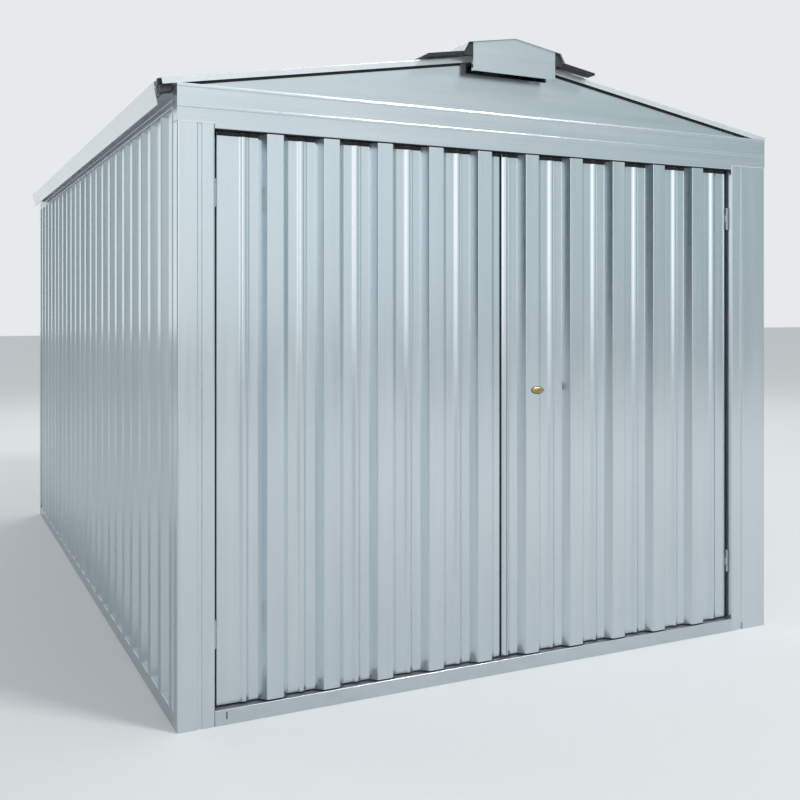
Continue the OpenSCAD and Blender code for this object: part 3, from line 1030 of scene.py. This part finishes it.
    def plates(self, side: str) -> None:
        """Build a wall plate with two light ridges pressed along its face.

        Args:
            side: left or right.
        """
        p = self.plan
        place = at_side(p.along_left, side)
        z0, z1 = p.wall_top_z, p.roof_z
        step, (a, b, c, d) = self.plate_groove_d, self.plate_groove
        corners = np.array([[p.frame_d, z0], [0, z0], [0, z0 + a], [step, z0 + b],
                            [step, z0 + c], [0, z0 + d], [0, z1],
                            [p.frame_d, z1 + p.frame_d * math.tan(p.pitch)]])
        radii = np.array([0, self.fold_r, *[self.plate_r] * 4, self.fold_r, 0.0])
        Shell().strip(rounded(corners, radii), -p.rail_t, place, p.frame_d + p.sheet_t,
                      p.length - p.frame_d - p.sheet_t).piece(
            f"rail_plate_{side}", self.finishes.trim, "building", "frame_rail",
            [f"plate_{side}"])

    def ridge_rails(self, side: str) -> None:
        """Build a ridge rail: a channel whose upper flange follows the slope.

        Args:
            side: left or right.
        """
        p = self.plan
        place = at_side(p.along_left, side)
        slope = math.tan(p.pitch)
        outer = p.width / 2 - p.vent_half
        inner = outer + self.rail_w
        low = p.ridge_z - p.vent_half * slope - self.rail_h
        corners = np.array([[inner, low], [outer, low], [outer, p.roof_z + outer * slope],
                            [inner, p.roof_z + inner * slope]])
        path = rounded(corners, np.array([0, self.fold_r, self.fold_r, 0.0]))
        Shell().strip(path, -p.rail_t, place, p.frame_d + p.sheet_t,
                      p.length - p.frame_d - p.sheet_t).piece(
            f"rail_ridge_{side}", self.finishes.rail, "building", "frame_rail",
            [f"ridge_rail_{side}"])

    def build(self) -> None:
        """Build every rail and post."""
        p = self.plan
        self.bases()
        self.post("post_front_left", p.post_left_w, p.front)
        self.post("post_front_right", p.post_right_w, other_side(p.front))
        self.post("post_back_left", p.post_back_w, other_end(p.front))
        self.post("post_back_right", p.post_back_w, other_side(other_end(p.front)))
        for side in ("left", "right"):
            self.plates(side)
            self.ridge_rails(side)
        for end in ("front", "back"):
            self.header(end)
        self.slots()

    def slots(self) -> None:
        """Build the two small dark slots at the foot of the front, as thin dark plates of painted
        shade.
        """
        shell = Shell()
        for at, z0, z1 in self.foot_slots:
            shell.bar(box_ring(-self.slot_proud, self.slot_deep, z0, z1), self.plan.along_front,
                      at - self.slot_half, at + self.slot_half)
        shell.piece("slots_foot", self.finishes.rubber_and_shade, "building", "frame_rail")


@dataclass
class RidgeVent:
    """The raised cover over the open ridge, its end panels, and dark sheets of painted shade under
    the wings and beside the panels.
    """

    plan: Plan
    finishes: Finishes
    wing_half: float = 371.0
    foot_half: float = 225.0
    top_half: float = 205.0
    riser_h: float = 37.0
    wing_gap: float = 17.0
    rib_depth: float = 20.0
    cover_out: float = 18.0
    end_out: float = 10.0
    fold_r: float = 3.0
    apex_r: float = 6.0
    panel_clear: tuple[float, float] = (1.0, 0.6)
    return_t: float = 1.5
    return_len: float = 14.0
    # The dark sheets of painted shade under the wings and beside the panels.
    shade_in: float = 4.0
    shade_len: float = 60.0
    shade_t: float = 7.0
    shade_clear: float = 0.3
    shade_tip: tuple[float, float] = (3.0, 0.4)
    cheek_span: tuple[float, float] = (6.0, 16.0)
    cheek_drop: float = 12.0
    cheek_rise: float = 20.0
    cheek_clear: tuple[float, float] = (1.2, 0.5)

    @property
    def slope(self) -> float:
        """The rise of the roof for each millimetre in."""
        return math.tan(self.plan.pitch)

    def outline(self) -> Array:
        """The cover's path over the ridge, from the left wing's tip to the right one's."""
        tip = (self.plan.ridge_z - self.wing_half * self.slope
               + self.rib_depth / math.cos(self.plan.pitch) + self.wing_gap)
        foot = tip + (self.wing_half - self.foot_half) * self.slope
        top = foot + self.riser_h
        left = np.array([[-self.wing_half, tip], [-self.foot_half, foot], [-self.top_half, top]])
        apex = [[0.0, top + self.top_half * self.slope]]
        return np.vstack([left, apex, left[::-1] * [-1, 1]]) + [self.plan.width / 2, 0]

    def along(self, u: Array, v: Array, t: Array) -> Array:
        """u across the garage, v up, t along it."""
        return self.plan.points(u, t, v)

    def cover(self) -> None:
        """Build the cover with rounded folds."""
        t, out = self.plan.sheet_t, self.cover_out
        r = self.fold_r
        path = rounded(self.outline(), np.array([0, r, r, self.apex_r, r, r, 0.0]))
        shell = Shell().strip(path, -t, self.along, -out, self.plan.length + out)
        shell.piece("cover_ridge_vent", self.finishes.trim, "building", "trim",
                    ["vent_wing_left", "vent_wing_right", "vent_top_left", "vent_top_right"])

    def end_panel(self, end: str) -> None:
        """Build one end panel with its returns folded back along both sides.

        Args:
            end: front or back.
        """
        node = f"vent_end_{end}"
        half, out, t = self.plan.vent_half, self.end_out, self.plan.sheet_t
        side_clear, apex_clear = self.panel_clear
        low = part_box(node)[0][2] / MM
        apex = self.outline()[3]
        mid = self.plan.width / 2
        side_z = apex[1] - half * self.slope - t - side_clear
        face = np.array([[mid - half, low], [mid + half, low], [mid + half, side_z],
                         [mid, apex[1] - t - apex_clear], [mid - half, side_z],
                         [mid - half, low + MARGIN]])
        place = at_end(self.along, end)
        shell = Shell().bar(face, place, -out, t - out)
        back = t - out
        for u in (mid - half, mid + half - self.return_t):
            shell.bar(box_ring(u, u + self.return_t, low, side_z - MARGIN), place,
                      back, back + self.return_len)
        shell.piece(f"panel_{node}", self.finishes.gable, "building", "flat_sheet", [node])

    def painted_shade(self, end: str) -> None:
        """Build the dark sheets of painted shade under the wings and beside the end panel.

        Args:
            end: front or back.
        """
        t, gap = self.plan.sheet_t + self.shade_clear, self.shade_in - self.cover_out
        tip, foot, top = offset(self.outline(), -t)[:3]
        inner = self.plan.width / 2 - self.plan.vent_half - self.cheek_clear[0]
        down, clear = np.array([0.0, self.shade_t]), self.cheek_clear[1]
        start, end_foot = tip + self.shade_tip, foot + [MARGIN, 0]
        ring = np.array([start, end_foot, end_foot - down, start - down])
        cheek = np.array([[inner, foot[1] - self.cheek_drop],
                          [foot[0] + MARGIN, foot[1] - self.cheek_drop],
                          [top[0] + clear, top[1] - clear],
                          [inner, top[1] + self.cheek_rise * self.slope - clear]])
        shell = Shell()
        for side in ("left", "right"):
            place = at_end(at_side(self.along, side), end)
            shell.bar(ring, place, gap, gap + self.shade_len)
            shell.bar(cheek, place, *(gap + at for at in self.cheek_span))
        shell.piece(f"foam_vent_{end}", self.finishes.rubber_and_shade, "building", "eave_block")

    def build(self) -> None:
        """Build the whole vent."""
        self.cover()
        for end in ("front", "back"):
            self.end_panel(end)
            self.painted_shade(end)


@dataclass
class Closures:
    """Closing strips at the heads and feet of the ribbed sheets and under the verges; the dark
    ones are painted shade.
    """

    plan: Plan
    finishes: Finishes
    inset: float = 2.0
    door_reach: float = 58.0
    wall_reach: float = 33.0
    thick: float = 1.2
    plate_thick: float = 3.6
    verge_in: tuple[float, float] = (1.2, 1.0)
    verge_down: tuple[float, float] = (9.0, 0.4)
    verge_ends: tuple[float, float] = (6.0, 4.0)

    def build(self) -> None:
        """Build the strips on the base rails, under the headers and under the plates.

        Those at the doors and headers are dark strips of painted shade, those of the walls are
        zinc.
        """
        p, near = self.plan, self.inset
        front = (p.post_left_w + MARGIN, p.width - p.post_right_w - MARGIN)
        back = (p.post_back_w + MARGIN, p.width - p.post_back_w - MARGIN)
        side = (p.frame_d + MARGIN, p.length - p.frame_d - MARGIN)
        foot, head = (p.base_h + SKIM, p.base_h + self.thick), (p.head_z - self.thick,
                                                                p.head_z - SKIM)
        plate = (p.wall_top_z - self.plate_thick, p.wall_top_z - SKIM)
        at_back, left, right = other_end(p.along_front), p.along_left, other_side(p.along_left)
        # dark is the black of painted shade for the door and header strips.
        dark, zinc = self.finishes.rubber_and_shade, self.finishes.rail
        deep, short = self.door_reach, self.wall_reach
        strips = (
            # Painted shade on the sill before the doors.
            ("closer_feet", self.finishes.sill_shade, "eave_block", foot,
             ((deep, p.along_front, front),)),
            ("closer_wall_feet", zinc, "frame_rail", foot,
             ((short, at_back, back), (short, left, side), (short, right, side))),
            # Painted shade under the headers, over the doors and the back wall.
            ("closer_heads", dark, "eave_block", head,
             ((deep, p.along_front, front), (short, at_back, back))),
            ("closer_plates", zinc, "frame_rail", plate,
             ((short, left, side), (short, right, side))),
        )
        for name, material, slot, heights, runs in strips:
            shell = Shell()
            for reach, place, ends in runs:
                shell.bar(box_ring(near, reach, *heights), place, *ends)
            shell.piece(name, material, "building", slot)
        self.verges()

    def verges(self) -> None:
        """Build the dark strips of painted shadow between the gables' upper edges and the roof,
        where the verge trims cast their shadow.
        """
        p = self.plan
        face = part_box("gable_front")[0][1] / MM + p.length / 2
        (out, into), (low, high), (near, far) = self.verge_in, self.verge_down, self.verge_ends
        ring = box_ring(face - out, face + into, -low, -high)
        for end in ("front", "back"):
            shell = Shell()
            for side in ("left", "right"):
                shell.bar(ring, at_end(at_side(p.up_slope, side), end), near,
                          p.width / 2 - p.vent_half - far)
            shell.piece(f"closer_verge_{end}", self.finishes.rubber_and_shade, "building", "eave_block")


@dataclass
class DoorPair:
    """The two ribbed doors with folded edges, and dark strips of painted shadow at the tops of
    their recesses.
    """

    plan: Plan
    finishes: Finishes
    ribs: Ribbing = Ribbing()
    edge_in: float = 60.0
    left_first: float = 209.0 + 125.0  # from the garage's corner
    right_first: float = 126.0  # from the middle of the gap between the doors
    count: int = 5
    # Sizes of the painted header shadow in the recesses.
    head_shadow_h: float = 13.0
    head_shadow_t: float = 1.2
    head_shadow_gap: float = 0.1
    head_shadow_short: float = 0.5
    edge_r: float = 4.0
    recess_from: float = 5.0
    recess_in: float = 1.5
    bead_base: float = 0.3
    bead_proud: float = 8.0
    bead_wide: float = 26.0
    bead_in: float = 0.8
    bead_slopes: tuple[float, float] = (10.0, 2.0)

    def leaf(self, side: str, first: float) -> None:
        """Build one door's sheet, and the dark strips of painted shadow that the header casts into
        its recesses.

        Args:
            side: left or right.
            first: the middle of its first rib from the left corner.
        """
        node = f"door_{side}"
        low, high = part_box(node)
        a, b = (edge[0] / MM + self.plan.width / 2 for edge in (low, high))
        corners, radii = self.ribs.corners(a, b, first, self.count, (False, False))
        corners = np.vstack([[a, self.edge_in], corners, [b, self.edge_in]])
        radii = np.concatenate([[0.0], radii, [0.0]])
        radii[[1, -2]] = self.edge_r
        path = rounded(corners, radii)
        z0, z1 = low[2] / MM, high[2] / MM
        Shell().strip(path, self.ribs.thickness, self.plan.front, z0, z1).piece(
            f"leaf_{side}", self.finishes.door, f"{side}_door", "door_sheet", [node])
        # The header's shadow in each recess is painted: a dark strip standing just off the sheet
        # at its top.
        recess = ((path[:, 1] > self.recess_from) & (path[:, 0] > a + self.recess_in)
                  & (path[:, 0] < b - self.recess_in))
        edges = np.flatnonzero(np.diff(np.concatenate([[0], recess.astype(int), [0]])))
        head_shadow = Shell()
        for start, end in edges.reshape(-1, 2):
            proud = offset(path[start:end], -self.head_shadow_gap)
            head_shadow.strip(proud, -self.head_shadow_t, self.plan.front, z1 - self.head_shadow_h,
                         z1 - self.head_shadow_short)
        head_shadow.piece(f"filler_{side}", self.finishes.rubber_and_shade, f"{side}_door", "eave_block")
        if side == "right":
            self.meeting_bead(a, z0, z1)

    def meeting_bead(self, at: float, z0: float, z1: float) -> None:
        """Build the narrow bead along the right door's meeting edge.

        Args:
            at: the door's edge.
            z0: the door's foot.
            z1: the door's head.
        """
        base, crest = self.ribs.depth + self.bead_base, self.ribs.depth - self.bead_proud
        near, far = at + self.bead_in, at + self.bead_in + self.bead_wide
        left, right = self.bead_slopes
        ring = np.array([[near, base], [near + left, crest], [far - right, crest], [far, base]])
        Shell().bar(ring, self.plan.front, z0 + MARGIN, z1 - self.head_shadow_h - MARGIN).piece(
            "bead_meeting", self.finishes.door, "right_door", "door_sheet")

    def build(self) -> None:
        """Build both doors."""
        middle = (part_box("door_left")[1][0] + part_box("door_right")[0][0]) / 2 / MM
        self.leaf("left", self.left_first)
        self.leaf("right", middle + self.plan.width / 2 + self.right_first)


@dataclass
class Lock:
    """The door's lock: an oval plate with a dark seat, a domed core and its keyway, drawn as a
    dark plate of painted shade.
    """

    finishes: Finishes
    seat_h: float = 1.5
    plate_h: float = 6.0
    rim: float = 2.5
    plate_dome: float = 0.5
    plate_sides: int = 48
    core_r: float = 10.5
    core_dome: float = 0.6
    core_sides: int = 40
    keyway: tuple[float, float, float] = (2.2, 11.0, 0.15)
    keyway_sunk: float = 0.05

    def part(self, points: Array, quads: Array, lift: float, name: str,
             material: bpy.types.Material, nodes: Sequence[str] = ()) -> None:
        """Stand a part of the lock on the door.

        Args:
            points: its points in millimetres about +Z.
            quads: its faces.
            lift: how far off the door's face it starts.
            name: the piece's name.
            material: its finish.
            nodes: the CAD nodes it stands for.
        """
        low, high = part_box("door_lock")
        foot = np.array([(low[0] + high[0]) / 2, high[1] - lift * MM, (low[2] + high[2]) / 2])
        Shell().add(facing(points * MM, (0, -1, 0)) + foot, quads).piece(
            name, material, "right_door", "lock", nodes)

    def build(self) -> None:
        """Build the lock."""
        low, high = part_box("door_lock")
        half_w, half_h = (high[0] - low[0]) / 2 / MM, (high[2] - low[2]) / 2 / MM
        full = (high[1] - low[1]) / MM
        points, quads = disc(1.0, 1.0, self.plate_sides, self.plate_dome)
        self.part(points * [half_w, half_h, self.seat_h], quads, 0.0, "lock_seat",
                  self.finishes.rubber_and_shade)
        plate = [half_w - self.rim, half_h - self.rim, self.plate_h - self.seat_h]
        self.part(points * plate, quads, self.seat_h, "lock_plate", self.finishes.brass,
                  ["door_lock"])
        core, faces = disc(self.core_r, full - self.plate_h, self.core_sides, self.core_dome)
        self.part(core, faces, self.plate_h, "lock_core", self.finishes.brass)
        # The keyway is a thin dark plate on the core: painted shade for the key's slot.
        wide, tall, deep = self.keyway
        outline = box_ring(-wide / 2, wide / 2, -tall / 2, tall / 2)
        slot, sides = closed_tube(np.stack([
            np.column_stack([outline, np.full(len(outline), z)]) for z in (0.0, deep)]))
        self.part(slot, sides, full - self.keyway_sunk, "lock_keyway", self.finishes.rubber_and_shade)


@dataclass
class RoofScrews:
    """Screws with rubber washers on the roof's ribs, in rows along the eave and the ridge."""

    plan: Plan
    finishes: Finishes
    roof: SheetRoof
    head_r: float = 4.6
    head_h: float = 4.0
    washer_r: float = 8.0
    washer_h: float = 1.6
    washer_sides: int = 16
    washer_dome: float = 0.3
    head_dome: float = 0.15
    head_sunk: float = 0.1
    rows_in: tuple[float, float] = (30.0, 26.0)

    def build(self) -> None:
        """Build the screws of both slopes."""
        along = np.linspace(*self.roof.rib_line)[1:-1]
        c, s = math.cos(self.plan.pitch), math.sin(self.plan.pitch)
        for side, flip in (("left", -1.0), ("right", 1.0)):
            place = at_side(self.plan.up_slope, side)
            heads, washers = Shell(), Shell()
            for t in (self.rows_in[0], self.roof.slope_len - self.rows_in[1]):
                centres = place(along, np.full(len(along), self.roof.top),
                                np.full(len(along), t))
                normal = (flip * s, 0.0, c)
                washer, faces = disc(self.washer_r * MM, self.washer_h * MM,
                                     self.washer_sides, self.washer_dome)
                washers.copies(facing(washer, normal), faces, centres)
                head, sides = disc(self.head_r * MM, self.head_h * MM, 6, self.head_dome)
                lift = self.washer_h * MM * (1 - self.head_sunk)
                heads.copies(facing(head, normal), sides, centres + np.array(normal) * lift)
            heads.piece(f"screws_roof_{side}", self.finishes.plated, "building", "roof_sheet")
            washers.piece(f"washers_roof_{side}", self.finishes.rubber_and_shade, "building", "roof_sheet")


# ---- Stage ----


@dataclass
class Stage:
    """The floor, the soft light and the camera."""

    eye: tuple[float, float, float] = (-2.0503, -6.4141, 1.4440)
    turn: float = -31.098
    lens: float = 50.875
    shift: tuple[float, float] = (-0.2423, -0.1145)
    sensor: float = 36.0
    clip: float = 200.0
    floor_half: float = 60.0
    floor_lit: Tint = (0.52, 0.53, 0.53)
    floor_seen: Tint = (0.76, 0.76, 0.755)
    floor_rough: float = 0.9
    backdrop: Tint = (0.80, 0.82, 0.84)
    overhead: Tint = (0.66, 0.70, 0.73)
    overhead_from: tuple[float, float] = (0.25, 0.9)
    round_light: tuple[tuple[float, float], ...] = (
        (0.0, 0.07), (1.0, 0.07), (0.055, 0.09), (0.078, 0.40), (0.10, 1.25), (0.165, 1.28),
        (0.20, 0.90), (0.285, 0.88), (0.33, 0.60), (0.36, 0.40), (0.46, 0.45), (0.60, 0.75),
        (0.76, 0.88), (0.86, 0.80), (0.93, 0.10))
    tint: tuple[tuple[float, float], ...] = ((0.95, 1.25), (0.99, 1.04), (1.0, 1.0))
    lamps: tuple[tuple[str, Tint, Tint, float, float], ...] = (
        ("key", (5.5, -12.0, 12.0), (0, -2.0, 1.2), 3.0, 1150.0),
        ("side", (-9.0, 8.0, 6.0), (-1.3, 0, 1.2), 4.0, 110.0),
        ("back", (4.0, 10.0, 7.0), (0, 0, 1.2), 5.0, 200.0))

    def camera(self) -> None:
        """Set up the camera."""
        data = bpy.data.cameras.new("camera")
        data.lens, data.sensor_width, data.sensor_fit = self.lens, self.sensor, "HORIZONTAL"
        data.shift_x, data.shift_y = self.shift
        data.clip_end = self.clip
        made = bpy.data.objects.new("camera", data)
        made.location = self.eye
        made.rotation_euler = (math.radians(90), 0, math.radians(self.turn))
        bpy.context.scene.collection.objects.link(made)
        bpy.context.scene.camera = made

    def lamp(self, name: str, place: Sequence[float], aim: Sequence[float], size: float,
             watts: float) -> None:
        """Add a square soft lamp.

        Args:
            name: its name.
            place: where it hangs.
            aim: the point it faces.
            size: its side in metres.
            watts: its power.
        """
        data = bpy.data.lights.new(name, "AREA")
        data.size, data.energy = size, watts
        made = bpy.data.objects.new(name, data)
        made.location = place
        facing = np.array(aim, float) - np.array(place, float)
        flat = math.hypot(facing[0], facing[1])
        made.rotation_euler = (math.atan2(flat, -facing[2]), 0,
                               math.atan2(facing[1], facing[0]) - math.pi / 2)
        bpy.context.scene.collection.objects.link(made)

    def floor(self) -> None:
        """Add a wide pale floor, which throws less light back than the camera sees."""
        g = Graph("studio_floor")
        seen = g.node("ShaderNodeLightPath").outputs["Is Camera Ray"]
        g.link(g.mixed(seen, self.floor_lit, self.floor_seen), g.shader.inputs["Base Color"])
        g.shader.inputs["Roughness"].default_value = self.floor_rough
        mesh = bpy.data.meshes.new("floor")
        r = self.floor_half
        mesh.from_pydata([(-r, -r, 0), (r, -r, 0), (r, r, 0), (-r, r, 0)], [], [(0, 1, 2, 3)])
        mesh.materials.append(g.owner)
        made = bpy.data.objects.new("floor", mesh)
        bpy.context.scene.collection.objects.link(made)

    def sky(self) -> None:
        """Light the world by direction: pale at the left and overhead, bluer to the right.

        The direction's angle about Z, from 0 at -X through -Y, picks a colour from a ramp, and
        its height mixes that with the pale light overhead. Red, green and blue each take their
        share of the ramp's grey, raised to a power. The camera sees a plain pale grey.
        """
        g = Graph("studio", world=True)
        bpy.context.scene.world = g.owner
        around = g.node("ShaderNodeTexGradient", gradient_type="RADIAL")
        g.link(g.coordinates, around.inputs["Vector"])
        ramp = g.node("ShaderNodeValToRGB")
        stops = ramp.color_ramp.elements
        for i, (angle, grey) in enumerate(self.round_light):
            stop = stops[i] if i < 2 else stops.new(angle)
            stop.color = (*(share * grey**power for share, power in self.tint), 1)
        g.link(around.outputs["Fac"], ramp.inputs["Fac"])
        height = g.node("ShaderNodeSeparateXYZ")
        g.link(g.coordinates, height.inputs[0])
        rise = g.spread(height.outputs["Z"], 0.0, 1.0, *self.overhead_from)
        light = g.mixed(rise, ramp.outputs["Color"], self.overhead)
        seen = g.node("ShaderNodeLightPath").outputs["Is Camera Ray"]
        g.link(g.mixed(seen, light, self.backdrop), g.shader.inputs["Color"])

    def build(self) -> None:
        """Set the whole stage."""
        bpy.context.scene.view_settings.view_transform = "Standard"
        self.camera()
        self.floor()
        self.sky()
        for settings in self.lamps:
            self.lamp(*settings)


def dress_cad(finishes: Finishes, nodes: dict[str, bpy.types.Object]) -> None:
    """Give every CAD node that stays in view its finish.

    Args:
        finishes: the finishes.
        nodes: the CAD objects by name.
    """
    stems = {"gable": finishes.gable, "vent_brackets": finishes.rail,
             "eave_blocks": finishes.plastic, "hinges": finishes.plated,
             "header": finishes.header, "door_left_rails": finishes.rail,
             "door_right_rails": finishes.rail}
    for name, node in nodes.items():
        for stem, material in stems.items():
            if name.startswith(stem) and not node.hide_render:
                node.data.materials.clear()
                node.data.materials.append(material)


def main() -> None:
    """Build the garage's looks round the CAD frame."""
    logging.basicConfig(level=logging.INFO, format="%(name)s: %(message)s")
    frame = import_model()
    plan = Plan.measured()
    log.info("plan: %s", plan)
    finishes = Finishes()
    Stage().build()
    SheetWalls(plan, finishes).build()
    SheetRoof(plan, finishes).build()
    FrameRails(plan, finishes).build()
    RidgeVent(plan, finishes).build()
    Closures(plan, finishes).build()
    DoorPair(plan, finishes).build()
    Lock(finishes).build()
    RoofScrews(plan, finishes, SheetRoof(plan, finishes)).build()
    dress_cad(finishes, frame["nodes"])


if __name__ == "__main__":
    main()
